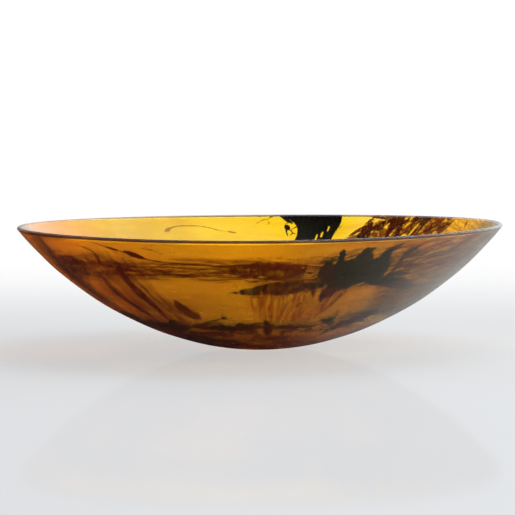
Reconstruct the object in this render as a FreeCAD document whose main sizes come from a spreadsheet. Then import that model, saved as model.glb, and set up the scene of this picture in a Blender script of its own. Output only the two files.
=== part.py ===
import FreeCAD, Part
import Sketcher
import math
import os

# A wide shallow art glass bowl. Three gathers of glass lie one inside the other: a satin amber casing
# outside, a thin amber overlay, and a yellow layer inside. Streaks of dark glass are picked up on the
# overlay, so each one is a separate piece that fills its own window in the overlay, sealed between the
# casing and the inner layer. The origin is the centre of the flat foot, +Z up; azimuth 0 is the front (-Y)
# and azimuth 90 is the right (+X).

DIMENSIONS = [
    ("rim_radius", 225.0),        # outer corner of the lip
    ("rim_height", 114.3),
    ("rim_slope", 51.6),          # degrees, the outer wall's slope at the lip
    ("lip_thickness", 3.0),       # square to the wall
    ("lip_rounding", 0.8),
    ("foot_radius", 15.0),        # the polished flat it stands on
    ("casing_lower_arc", 252.35),
    ("casing_upper_arc", 311.1),
    ("overlay_floor", 4.0),       # height of the overlay's underside on the axis
    ("overlay_lower_arc", 251.5),
    ("overlay_upper_arc", 314.5),
    ("overlay_lip_share", 0.42),  # share of the lip's thickness, from its outer corner
    ("inner_floor", 5.4),         # height of the inner layer's underside on the axis
    ("inner_lower_arc", 251.0),
    ("inner_upper_arc", 317.0),
    ("inner_lip_share", 0.62),
    ("hollow_floor", 9.0),        # height of the bowl's inside on the axis
    ("hollow_lower_arc", 250.0),
    ("hollow_upper_arc", 320.0),
    ("hollow_lip_share", 1.0),
    ("cutter_height", 130.0),     # the window cutters stand clear of the lip
]

# Outlines of the wide streaks: (azimuth in degrees, climb in mm up the wall from the centre of the foot).
# The lip is at a climb of 261 mm, and a streak that runs out at the lip has points beyond it.
PATCHES = {
    "cloud_front": [(19.5, 182), (17.5, 196), (16.5, 206), (14, 217), (14.8, 226), (17, 236), (19, 247),
                    (21.5, 240), (25.5, 251), (28, 241), (31.5, 248), (33.5, 235), (34.5, 220), (37.5, 208),
                    (34, 200), (28, 200), (23.5, 193), (21.5, 184)],
    "tongue_front": [(-9, 191), (-4, 199), (1, 206), (7, 209), (12.5, 208.5), (14.5, 202), (12, 194),
                     (7, 190), (1, 187), (-5, 187.5)],
    "speckle_front": [(-7, 228), (-3, 234), (3, 236), (8, 231), (11.5, 226), (11, 217), (5, 214), (-2, 217),
                      (-7, 221)],
    "leaf_left": [(-27.5, 178), (-25, 170), (-22.5, 155), (-21.8, 143), (-24, 138.5), (-27.5, 142),
                  (-29.5, 155), (-29.3, 168)],
    "veil_left": [(-61, 232), (-55, 236), (-50.5, 232), (-49.8, 222), (-51, 212), (-54, 205), (-58, 203),
                  (-60.5, 210), (-61.5, 221)],
    "low_cloud_left": [(-70, 126), (-60, 131), (-50, 128), (-42, 129), (-36, 126), (-34.5, 118), (-38, 110),
                       (-46, 108), (-56, 112), (-66, 116)],
    "low_cloud_middle": [(-31, 122), (-24, 126), (-17, 128), (-10, 126), (-4, 129), (-0.5, 124), (-3, 116),
                         (-10, 113), (-18, 114), (-27, 116)],
    "low_cloud_front": [(8, 124), (13, 126), (19, 125), (21, 121), (18, 117), (13, 116), (8.5, 118)],
    "low_cloud_right": [(24, 136), (28.5, 145), (31.5, 135), (35, 131), (39.5, 139), (44, 150), (48.5, 151),
                        (50, 141), (46, 129), (41, 117), (37, 109), (33.5, 114), (31.5, 123), (26.5, 126)],
    "shard_back": [(176.4, 270), (172.8, 256), (170, 246), (169.5, 236), (169.8, 222), (168.5, 205),
                   (166.5, 191), (164, 184), (161.5, 191), (160, 208), (159, 230), (158.7, 250),
                   (158.7, 270), (167, 276)],
    "plume_back_1": [(149, 253), (147.8, 244), (147.3, 232), (148.6, 219), (151.2, 226), (151, 242)],
    "plume_back_2": [(147.5, 270), (144.6, 256), (143.6, 244), (142.6, 228), (141, 214), (139, 224),
                     (138.4, 240), (138.6, 256), (138.8, 270), (143, 275)],
    "plume_back_3": [(137, 270), (136.2, 252), (135, 234), (132.6, 226), (131.6, 240), (130.6, 256),
                     (131, 270), (134, 275)],
    "smoke_back": [(214, 204), (224, 213), (237, 211), (247, 200), (243, 186), (231, 180), (219, 188)],
    "low_cloud_back_1": [(104, 121), (120, 129), (138, 125), (155, 130), (168, 122), (162, 113), (148, 115),
                         (130, 113), (114, 112)],
    "low_cloud_back_2": [(190, 121), (205, 128), (222, 124), (240, 130), (252, 121), (243, 112), (225, 114),
                         (205, 111)],
}

# Middle lines of the narrow streaks, as (azimuth, climb), and each one's greatest width in mm.
THREADS = {
    "wisp_left": (2.0, [(-38, 251), (-33, 246), (-27, 238), (-20, 234), (-11, 232)]),
    "band_front": (5.0, [(-33, 216), (-26, 217.5), (-18, 217), (-10, 218)]),
    "drape_left_1": (6.0, [(-47, 216), (-48.3, 190), (-47.8, 165), (-46, 138)]),
    "drape_left_2": (11.0, [(-37, 232), (-38.5, 212), (-38, 188), (-37.5, 164), (-39, 138)]),
    "edge_streak_left": (8.0, [(-65.5, 250), (-64.7, 228), (-64.7, 204), (-65.5, 180), (-66.5, 158)]),
    "drape_front": (4.0, [(25, 192), (24.3, 182), (22.8, 165), (20, 143)]),
    "thread_front_right": (2.0, [(26.8, 167), (30, 171.5), (33.5, 174)]),
    "lump_thread_front": (3.0, [(-22, 134), (-17, 139), (-13, 147)]),
    "low_drip_front": (6.0, [(2.4, 138), (3.4, 122), (3.4, 104)]),
    "base_streak_left": (14.0, [(-40, 99), (-33, 88), (-22, 72)]),
    "smoke_sheet_right": (11.0, [(41, 199), (48, 195), (56, 186), (65, 172)]),
    "haze_streak_right": (9.0, [(61, 208), (64, 228), (68, 250)]),
    "drip_back": (3.0, [(171.9, 247), (172.6, 240), (172, 232)]),
    "thread_back_1": (2.5, [(120.8, 259), (121.5, 251), (122.8, 243)]),
    "thread_back_2": (2.0, [(114.6, 258), (114.4, 254), (113.6, 249)]),
    "arch_thread_back": (2.0, [(206, 239), (203.5, 247), (197, 246.5), (188, 237)]),
    "drape_back": (9.0, [(262, 222), (258, 200), (255.5, 178), (257, 156)]),
}

END_WIDTH_SHARE = 0.4  # a narrow streak's width at its ends, as a share of its greatest width
OVERLAY_SECTORS = 12   # equal turns that the windowed layer is made of
LEAST_GAP = 0.5        # mm of overlay between two streaks
SAME_PLACE = 0.01      # mm within which an edge runs through a corner
VOLUME_SLACK = 0.01    # share by which the measured volumes of trimmed faces may be off

doc = FreeCAD.newDocument("art_glass_bowl")
sheet = doc.addObject("Spreadsheet::Sheet", "Dims")
for row, (alias, number) in enumerate(DIMENSIONS, start=1):
    sheet.set(f"A{row}", alias)
    sheet.set(f"B{row}", str(number))
    sheet.setAlias(f"B{row}", alias)
doc.recompute()


def lip_point(share):
    """Point of the lip at a share of its thickness, from the outer corner inwards, as (radius, height)."""
    slope = math.radians(sheet.rim_slope)
    across = share * sheet.lip_thickness
    return sheet.rim_radius - across * math.sin(slope), sheet.rim_height + across * math.cos(slope)


def wall_curve(start, lower_arc, upper_arc, end):
    """Two tangent arcs from start to end, the lower one centred on the axis: (centre, joint, centre)."""
    lower_centre = (0.0, start[1] + math.sqrt(lower_arc ** 2 - start[0] ** 2))
    run = (end[0] - lower_centre[0], end[1] - lower_centre[1])
    reach = math.hypot(*run)
    gap = upper_arc - lower_arc
    along = (gap ** 2 - upper_arc ** 2 + reach ** 2) / (2 * reach)
    aside = math.sqrt(gap ** 2 - along ** 2)
    ahead = (run[0] / reach, run[1] / reach)
    upper_centre = (lower_centre[0] + ahead[0] * along - ahead[1] * aside,
                    lower_centre[1] + ahead[1] * along + ahead[0] * aside)
    joint = (lower_centre[0] + (lower_centre[0] - upper_centre[0]) / gap * lower_arc,
             lower_centre[1] + (lower_centre[1] - upper_centre[1]) / gap * lower_arc)
    return lower_centre, joint, upper_centre


def sketch_point(point):
    return FreeCAD.Vector(point[0], point[1], 0)


def arc(centre, radius, first, last):
    """Sketch arc, counter-clockwise from first to last."""
    circle = Part.Circle(sketch_point(centre), FreeCAD.Vector(0, 0, 1), radius)
    start_angle = math.atan2(first[1] - centre[1], first[0] - centre[0])
    end_angle = math.atan2(last[1] - centre[1], last[0] - centre[0])
    return Part.ArcOfCircle(circle, start_angle, end_angle)


ORIGIN_POINT = (-1, 1)
START, END, CENTRE = 1, 2, 3
VERTICAL_AXIS = -2
CASING = {"name": "casing", "start_radius": "foot_radius", "start_height": None, "lip_share": None}
OVERLAY = {"name": "overlay", "start_radius": None, "start_height": "overlay_floor",
           "lip_share": "overlay_lip_share"}
INNER = {"name": "inner", "start_radius": None, "start_height": "inner_floor",
         "lip_share": "inner_lip_share"}
HOLLOW = {"name": "hollow", "start_radius": None, "start_height": "hollow_floor",
          "lip_share": "hollow_lip_share"}


def add_wall(sketch, side):
    """Draws one face of the wall, foot to lip, bound to the sheet; returns its two arcs and its ends."""
    name = side["name"]
    lower_arc = getattr(sheet, f"{name}_lower_arc")
    upper_arc = getattr(sheet, f"{name}_upper_arc")
    share = getattr(sheet, side["lip_share"]) if side["lip_share"] else 0.0
    start = (getattr(sheet, side["start_radius"]) if side["start_radius"] else 0.0,
             getattr(sheet, side["start_height"]) if side["start_height"] else 0.0)
    end = lip_point(share)
    lower_centre, joint, upper_centre = wall_curve(start, lower_arc, upper_arc, end)
    lower = sketch.addGeometry(arc(lower_centre, lower_arc, start, joint), False)
    upper = sketch.addGeometry(arc(upper_centre, upper_arc, joint, end), False)
    sketch.addConstraint(Sketcher.Constraint("PointOnObject", lower, CENTRE, VERTICAL_AXIS))
    sketch.addConstraint(Sketcher.Constraint("Tangent", lower, END, upper, START))
    across = f"Dims.{side['lip_share']} * Dims.lip_thickness" if side["lip_share"] else "0"
    sizes = [
        (Sketcher.Constraint("Radius", lower, lower_arc), f"Dims.{name}_lower_arc"),
        (Sketcher.Constraint("Radius", upper, upper_arc), f"Dims.{name}_upper_arc"),
        (Sketcher.Constraint("DistanceX", *ORIGIN_POINT, upper, END, end[0]),
         f"Dims.rim_radius - {across} * sin(Dims.rim_slope * 1 deg)"),
        (Sketcher.Constraint("DistanceY", *ORIGIN_POINT, upper, END, end[1]),
         f"Dims.rim_height + {across} * cos(Dims.rim_slope * 1 deg)"),
    ]
    if side["start_radius"]:
        sizes.append((Sketcher.Constraint("DistanceX", *ORIGIN_POINT, lower, START, start[0]),
                      f"Dims.{side['start_radius']}"))
    if side["start_height"]:
        sizes.append((Sketcher.Constraint("DistanceY", *ORIGIN_POINT, lower, START, start[1]),
                      f"Dims.{side['start_height']}"))
    for constraint, expression in sizes:
        index = sketch.addConstraint(constraint)
        sketch.setExpression(f"Constraints[{index}]", expression)
    return lower, upper, start, end


def add_line(sketch, first, last):
    return sketch.addGeometry(Part.LineSegment(sketch_point(first), sketch_point(last)), False)


def join(sketch, first, first_end, second, second_end):
    sketch.addConstraint(Sketcher.Constraint("Coincident", first, first_end, second, second_end))


def layer(name, outside, inside, sectors=1):
    """One gather of glass: the wall between two faces, turned about the vertical axis.

    A layer that windows are cut in is turned as equal sectors, which keeps each of its faces small.
    """
    body = doc.addObject("PartDesign::Body", name)
    body.Label = name
    origin = {feature.Role: feature for feature in body.Origin.OriginFeatures}
    sketch = body.newObject("Sketcher::SketchObject", f"{name}_profile")
    sketch.AttachmentSupport = [(origin["XZ_Plane"], "")]
    sketch.MapMode = "FlatFace"
    outer_lower, outer_upper, outer_start, outer_end = add_wall(sketch, outside)
    inner_lower, inner_upper, inner_start, inner_end = add_wall(sketch, inside)
    lip = add_line(sketch, outer_end, inner_end)
    join(sketch, outer_upper, END, lip, START)
    join(sketch, lip, END, inner_upper, END)
    pole = (0.0, outer_start[1])
    axis = add_line(sketch, inner_start, pole)
    join(sketch, inner_lower, START, axis, START)
    sketch.addConstraint(Sketcher.Constraint("PointOnObject", axis, START, VERTICAL_AXIS))
    if outer_start[0] > 0:
        foot = add_line(sketch, pole, outer_start)
        sketch.addConstraint(Sketcher.Constraint("Coincident", foot, START, *ORIGIN_POINT))
        join(sketch, axis, END, foot, START)
        join(sketch, foot, END, outer_lower, START)
        sketch.addConstraint(Sketcher.Constraint("Horizontal", foot))
    else:
        sketch.addConstraint(Sketcher.Constraint("PointOnObject", axis, END, VERTICAL_AXIS))
        join(sketch, axis, END, outer_lower, START)
    turned = body.newObject("PartDesign::Revolution", f"{name}_turned")
    turned.Profile = sketch
    turned.ReferenceAxis = (sketch, ["V_Axis"])
    turned.Angle = 360.0 / sectors
    if sectors > 1:
        ring = body.newObject("PartDesign::PolarPattern", f"{name}_ring")
        ring.Originals = [turned]
        ring.Axis = (sketch, ["V_Axis"])
        ring.Angle = 360.0
        ring.Occurrences = sectors
        ring.Refine = False
        body.Tip = ring
    doc.recompute()
    return body


def round_lip_corner(body, corner):
    """Rounds the lip edge that runs through the given (radius, height) corner."""
    turned = body.Tip
    names = []
    for number, edge in enumerate(turned.Shape.Edges, start=1):
        box = edge.BoundBox
        offsets = (box.XMax - corner[0], box.ZMin - corner[1], box.ZMax - corner[1])
        if all(abs(offset) < SAME_PLACE for offset in offsets):
            names.append(f"Edge{number}")
    fillet = body.newObject("PartDesign::Fillet", f"{body.Name}_lip_rounding")
    fillet.Base = (turned, names)
    fillet.setExpression("Radius", "Dims.lip_rounding")
    turned.Visibility = False
    doc.recompute()


casing = layer("outer_casing", CASING, OVERLAY)
round_lip_corner(casing, lip_point(0.0))
overlay_blank = layer("overlay_blank", OVERLAY, INNER, sectors=OVERLAY_SECTORS)
inner_layer = layer("inner_layer", INNER, HOLLOW)
round_lip_corner(inner_layer, lip_point(1.0))

# The overlay's own underside gives the plan radius of a point at a given climb.
OVERLAY_JOINT = wall_curve((0.0, sheet.overlay_floor), sheet.overlay_lower_arc, sheet.overlay_upper_arc,
                           lip_point(sheet.overlay_lip_share))[1]
JOINT_ANGLE = math.asin(OVERLAY_JOINT[0] / sheet.overlay_lower_arc)
JOINT_CLIMB = JOINT_ANGLE * sheet.overlay_lower_arc


def wall_radius(climb):
    """Plan radius of the overlay at a climb along the wall."""
    if climb < JOINT_CLIMB:
        return sheet.overlay_lower_arc * math.sin(climb / sheet.overlay_lower_arc)
    slope = JOINT_ANGLE + (climb - JOINT_CLIMB) / sheet.overlay_upper_arc
    return OVERLAY_JOINT[0] + sheet.overlay_upper_arc * (math.sin(slope) - math.sin(JOINT_ANGLE))


def plan_point(azimuth, climb):
    radius = wall_radius(climb)
    angle = math.radians(azimuth)
    return FreeCAD.Vector(radius * math.sin(angle), -radius * math.cos(angle), 0)


def spline(points, closed=False):
    """Smooth curve in plan through points given as (azimuth, climb)."""
    curve = Part.BSplineCurve()
    curve.interpolate([plan_point(azimuth, climb) for azimuth, climb in points], PeriodicFlag=closed)
    return curve


def thread_outline(width, middle):
    """Outline of a narrow streak: a smooth curve along each side, and a short line across each end."""
    left = []
    right = []
    for index, (azimuth, climb) in enumerate(middle):
        before = middle[max(index - 1, 0)]
        after = middle[min(index + 1, len(middle) - 1)]
        radius = wall_radius(climb)
        along = math.radians(after[0] - before[0]) * radius
        up = after[1] - before[1]
        share = END_WIDTH_SHARE if index in (0, len(middle) - 1) else 1.0
        half = share * width / 2 / math.hypot(along, up)
        left.append((azimuth - math.degrees(up * half / radius), climb + along * half))
        right.append((azimuth + math.degrees(up * half / radius), climb - along * half))
    ends = [Part.LineSegment(plan_point(*left[place]), plan_point(*right[place])) for place in (0, -1)]
    return [spline(left), ends[1], spline(right), ends[0]]


def streak(name, outline):
    """One piece of dark glass: the part of the overlay above a closed outline drawn in plan."""
    window = doc.addObject("Sketcher::SketchObject", f"{name}_window")
    for curve in outline:
        window.addGeometry(curve, False)
    cutter = doc.addObject("Part::Extrusion", f"{name}_cutter")
    cutter.Base = window
    cutter.DirMode = "Custom"
    cutter.Dir = FreeCAD.Vector(0, 0, 1)
    cutter.Solid = True
    cutter.setExpression("LengthFwd", "Dims.cutter_height")
    piece = doc.addObject("Part::Common", name)
    piece.Base = overlay_blank
    piece.Tool = cutter
    piece.Label = name
    return piece, cutter


outlines = {name: [spline(points, closed=True)] for name, points in PATCHES.items()}
for name, (width, middle) in THREADS.items():
    outlines[name] = thread_outline(width, middle)
streaks = [streak(name, outline) for name, outline in outlines.items()]
doc.recompute()

windows = doc.addObject("Part::Compound", "windows")
windows.Links = [cutter for _, cutter in streaks]
overlay = doc.addObject("Part::Cut", "streak_overlay")
overlay.Base = overlay_blank
overlay.Tool = windows
overlay.Label = "streak_overlay"
doc.recompute()

pieces = [casing, inner_layer, overlay] + [piece for piece, _ in streaks]
for item in doc.Objects:
    if "Invalid" in item.State or "Error" in item.State:
        raise RuntimeError(f"{item.Label} did not compute: {item.State}")
for piece in pieces:
    if piece.Shape.isNull() or not piece.Shape.isValid():
        raise RuntimeError(f"{piece.Label} has no valid shape")
    if len(piece.Shape.Solids) != 1:
        raise RuntimeError(f"{piece.Label} has {len(piece.Shape.Solids)} solids")

for index, (first, _) in enumerate(streaks):
    for second, _ in streaks[index + 1:]:
        near = first.Shape.BoundBox.intersect(second.Shape.BoundBox)
        if near and first.Shape.distToShape(second.Shape)[0] < LEAST_GAP:
            raise RuntimeError(f"{first.Label} is too close to {second.Label}")
overlay_total = overlay.Shape.Volume + sum(piece.Shape.Volume for piece, _ in streaks)
if abs(overlay_total / overlay_blank.Shape.Volume - 1) > VOLUME_SLACK:
    raise RuntimeError("the overlay and its streaks don't add up to the whole layer")

os.makedirs("parts", exist_ok=True)
for piece in pieces:
    piece.Shape.exportStep(os.path.join("parts", f"{piece.Label}.step"))
    print(f"{piece.Label}: {piece.Shape.Volume:.0f} mm3")
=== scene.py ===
import math

import bpy
import numpy as np
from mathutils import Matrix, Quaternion, Vector


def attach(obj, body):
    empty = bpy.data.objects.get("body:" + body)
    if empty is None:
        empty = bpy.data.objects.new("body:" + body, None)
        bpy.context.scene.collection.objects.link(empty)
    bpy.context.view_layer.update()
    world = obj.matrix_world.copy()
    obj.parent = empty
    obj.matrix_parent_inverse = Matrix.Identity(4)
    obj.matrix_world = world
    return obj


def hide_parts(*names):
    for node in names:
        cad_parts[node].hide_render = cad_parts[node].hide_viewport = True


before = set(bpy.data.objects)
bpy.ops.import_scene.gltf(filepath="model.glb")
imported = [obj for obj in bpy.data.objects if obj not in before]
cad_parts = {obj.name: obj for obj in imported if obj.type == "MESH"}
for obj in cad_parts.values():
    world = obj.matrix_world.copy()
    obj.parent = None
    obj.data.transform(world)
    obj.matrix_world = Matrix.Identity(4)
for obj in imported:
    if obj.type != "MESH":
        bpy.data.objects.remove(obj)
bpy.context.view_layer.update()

# The bowl is turned about +Z, so most of this file works on the unrolled wall: azimuth in degrees (0 at the
# front, -Y, and 90 at the right, +X) and climb, the distance in mm up the wall from the centre of the foot.

MM = 0.001

# ---- the wall's shape, in mm, as in the CAD

RIM_ROUNDING = 0.8
RIM_SLOPE = math.radians(51.6)
LIP = 3.0              # thickness of the wall at the lip
RIM_RADIUS = 224.97    # a hair under the CAD's 225, so that the visual stays inside its box
RIM_HEIGHT = 114.3     # of the lip's outer corner
FOOT_RADIUS = 15.0
LIP_CLIMB = 261.0      # climb of the lip's outer corner


def lip_point(share):
    """(radius, height) on the lip at a share of its thickness from the outer corner."""
    return (RIM_RADIUS - share * LIP * math.sin(RIM_SLOPE), RIM_HEIGHT + share * LIP * math.cos(RIM_SLOPE))


class Wall:
    """One face of the wall: two tangent arcs from near the axis to the lip, read by distance along it."""

    def __init__(self, start, lower_arc, upper_arc, lip_share):
        self.start = start
        self.lower_arc = lower_arc
        self.upper_arc = upper_arc
        end = lip_point(lip_share)
        self.lower_centre = (0.0, start[1] + math.sqrt(lower_arc ** 2 - start[0] ** 2))
        run = (end[0] - self.lower_centre[0], end[1] - self.lower_centre[1])
        reach = math.hypot(*run)
        gap = upper_arc - lower_arc
        along = (gap ** 2 - upper_arc ** 2 + reach ** 2) / (2 * reach)
        aside = math.sqrt(gap ** 2 - along ** 2)
        ahead = (run[0] / reach, run[1] / reach)
        self.upper_centre = (ahead[0] * along - ahead[1] * aside,
                             self.lower_centre[1] + ahead[1] * along + ahead[0] * aside)
        self.first_slope = math.asin(start[0] / lower_arc)
        self.joint_slope = math.atan2(-self.upper_centre[0], self.upper_centre[1] - self.lower_centre[1])
        self.last_slope = math.asin((end[0] - self.upper_centre[0]) / upper_arc)
        self.joint_climb = start[0] + (self.joint_slope - self.first_slope) * lower_arc
        self.last_climb = self.joint_climb + (self.last_slope - self.joint_slope) * upper_arc

    def at(self, climb):
        """Radius, height and slope at each climb, in mm and radians."""
        climb = np.asarray(climb, float)
        slope = np.where(
            climb < self.joint_climb,
            self.first_slope + (climb - self.start[0]) / self.lower_arc,
            self.joint_slope + (climb - self.joint_climb) / self.upper_arc)
        lower = climb < self.joint_climb
        radius = np.where(lower, self.lower_arc * np.sin(slope),
                          self.upper_centre[0] + self.upper_arc * np.sin(slope))
        height = np.where(lower, self.lower_centre[1] - self.lower_arc * np.cos(slope),
                          self.upper_centre[1] - self.upper_arc * np.cos(slope))
        on_foot = climb < self.start[0]
        return (np.where(on_foot, climb, radius), np.where(on_foot, self.start[1], height),
                np.where(on_foot, 0.0, slope))


# Each overlay face meets the lip at this share of its thickness from the outer corner.
OVERLAY_OUT_SHARE = 0.42
OVERLAY_IN_SHARE = 0.62

OUTSIDE = Wall((FOOT_RADIUS, 0.0), 252.35, 311.1, 0.0)
OVERLAY_OUT = Wall((0.0, 4.0), 251.5, 314.5, OVERLAY_OUT_SHARE)
OVERLAY_IN = Wall((0.0, 5.4), 251.0, 317.0, OVERLAY_IN_SHARE)
INSIDE = Wall((0.0, 9.0), 250.0, 320.0, 1.0)

# ---- noise on the wall


LATTICE = 32  # cells before the noise repeats


def lattice_noise(points, seed):
    """Smooth value noise from 0 to 1 at each row of points, one lattice cell per unit."""
    table = np.random.default_rng(seed).random((LATTICE, LATTICE, LATTICE))
    cell = np.floor(points).astype(int)
    share = points - cell
    share = share * share * (3 - 2 * share)
    total = np.zeros(len(points))
    for corner in range(8):
        step = np.array([corner & 1, corner >> 1 & 1, corner >> 2 & 1])
        weight = np.prod(np.where(step, share, 1 - share), axis=1)
        place = (cell + step) % LATTICE
        total += weight * table[place[:, 0], place[:, 1], place[:, 2]]
    return total


def wall_noise(azimuth, climb, around, up, seed, octaves=3):
    """Noise on the unrolled wall with cells about `around` mm wide at the rim and `up` mm tall."""
    angle = np.radians(azimuth)
    ring = RIM_RADIUS / around
    points = np.stack([ring * np.sin(angle), ring * np.cos(angle), climb / up], axis=1)
    total = np.zeros(len(points))
    size = 1.0
    for octave in range(octaves):
        total += size * lattice_noise(points * 2 ** octave, seed + octave)
        size /= 2
    return total / (2 - 2 ** (1 - octaves))


# ---- the streaks

# Wide streaks: outlines as (azimuth, climb) points.
PATCHES = {
    "cloud_front": [
        (19.5, 182), (17.5, 196), (16.5, 206), (14, 217), (14.8, 226), (17, 236), (19, 247), (21.5, 240),
        (25.5, 251), (28, 241), (31.5, 248), (33.5, 235), (34.5, 220), (37.5, 208), (34, 200), (28, 200),
        (23.5, 193), (21.5, 184),
    ],
    "tongue_front": [
        (-9, 191), (-4, 199), (1, 206), (7, 209), (12.5, 208.5), (14.5, 202), (12, 194), (7, 190), (1, 187),
        (-5, 187.5),
    ],
    "speckle_front": [
        (-7, 228), (-3, 234), (3, 236), (8, 231), (11.5, 226), (11, 217), (5, 214), (-2, 217), (-7, 221),
    ],
    "leaf_left": [
        (-27.5, 178), (-25, 170), (-22.5, 155), (-21.8, 143), (-24, 138.5), (-27.5, 142), (-29.5, 155),
        (-29.3, 168),
    ],
    "veil_left": [
        (-61, 232), (-55, 236), (-50.5, 232), (-49.8, 222), (-51, 212), (-54, 205), (-58, 203),
        (-60.5, 210), (-61.5, 221),
    ],
    "low_cloud_left": [
        (-70, 126), (-60, 131), (-50, 128), (-42, 129), (-36, 126), (-34.5, 118), (-38, 110), (-46, 108),
        (-56, 112), (-66, 116),
    ],
    "low_cloud_middle": [
        (-31, 122), (-24, 126), (-17, 128), (-10, 126), (-4, 129), (-0.5, 124), (-3, 116), (-10, 113),
        (-18, 114), (-27, 116),
    ],
    "low_cloud_front": [(8, 124), (13, 126), (19, 125), (21, 121), (18, 117), (13, 116), (8.5, 118)],
    "low_cloud_right": [
        (24, 136), (28.5, 145), (31.5, 135), (35, 131), (39.5, 139), (44, 150), (48.5, 151), (50, 141),
        (46, 129), (41, 117), (37, 109), (33.5, 114), (31.5, 123), (26.5, 126),
    ],
    "shard_back": [
        (176.4, 270), (172.8, 256), (170, 246), (169.5, 236), (169.8, 222), (168.5, 205), (166.5, 191),
        (164, 184), (161.5, 191), (160, 208), (159, 230), (158.7, 250), (158.7, 270), (167, 276),
    ],
    "plume_back_1": [(149, 253), (147.8, 244), (147.3, 232), (148.6, 219), (151.2, 226), (151, 242)],
    "plume_back_2": [
        (147.5, 270), (144.6, 256), (143.6, 244), (142.6, 228), (141, 214), (139, 224), (138.4, 240),
        (138.6, 256), (138.8, 270), (143, 275),
    ],
    "plume_back_3": [
        (137, 270), (136.2, 252), (135, 234), (132.6, 226), (131.6, 240), (130.6, 256), (131, 270),
        (134, 275),
    ],
    "smoke_back": [(214, 204), (224, 213), (237, 211), (247, 200), (243, 186), (231, 180), (219, 188)],
    "low_cloud_back_1": [
        (104, 121), (120, 129), (138, 125), (155, 130), (168, 122), (162, 113), (148, 115), (130, 113),
        (114, 112),
    ],
    "low_cloud_back_2": [
        (190, 121), (205, 128), (222, 124), (240, 130), (252, 121), (243, 112), (225, 114), (205, 111),
    ],
}

# Narrow streaks: greatest width in mm, then the middle line's (azimuth, climb) points.
THREADS = {
    "wisp_left": (2, (-38, 251), (-33, 246), (-27, 238), (-20, 234), (-11, 232)),
    "band_front": (5, (-33, 216), (-26, 217.5), (-18, 217), (-10, 218)),
    "drape_left_1": (6, (-47, 216), (-48.3, 190), (-47.8, 165), (-46, 138)),
    "drape_left_2": (11, (-37, 232), (-38.5, 212), (-38, 188), (-37.5, 164), (-39, 138)),
    "edge_streak_left": (8, (-65.5, 250), (-64.7, 228), (-64.7, 204), (-65.5, 180), (-66.5, 158)),
    "drape_front": (4, (25, 192), (24.3, 182), (22.8, 165), (20, 143)),
    "thread_front_right": (2, (26.8, 167), (30, 171.5), (33.5, 174)),
    "lump_thread_front": (3, (-22, 134), (-17, 139), (-13, 147)),
    "low_drip_front": (6, (2.4, 138), (3.4, 122), (3.4, 104)),
    # base_streak_left is painted shade: a black streak where the bottom left lies in shade.
    "base_streak_left": (14, (-40, 99), (-33, 88), (-22, 72)),
    "smoke_sheet_right": (11, (41, 199), (48, 195), (56, 186), (65, 172)),
    # haze_streak_right is painted sheen: a blue-grey streak standing in for light reflected on the right
    # side.
    "haze_streak_right": (9, (61, 208), (64, 228), (68, 250)),
    "drip_back": (3, (171.9, 247), (172.6, 240), (172, 232)),
    "thread_back_1": (2.5, (120.8, 259), (121.5, 251), (122.8, 243)),
    "thread_back_2": (2, (114.6, 258), (114.4, 254), (113.6, 249)),
    "arch_thread_back": (2, (206, 239), (203.5, 247), (197, 246.5), (188, 237)),
    "drape_back": (9, (262, 222), (258, 200), (255.5, 178), (257, 156)),
}

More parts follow.
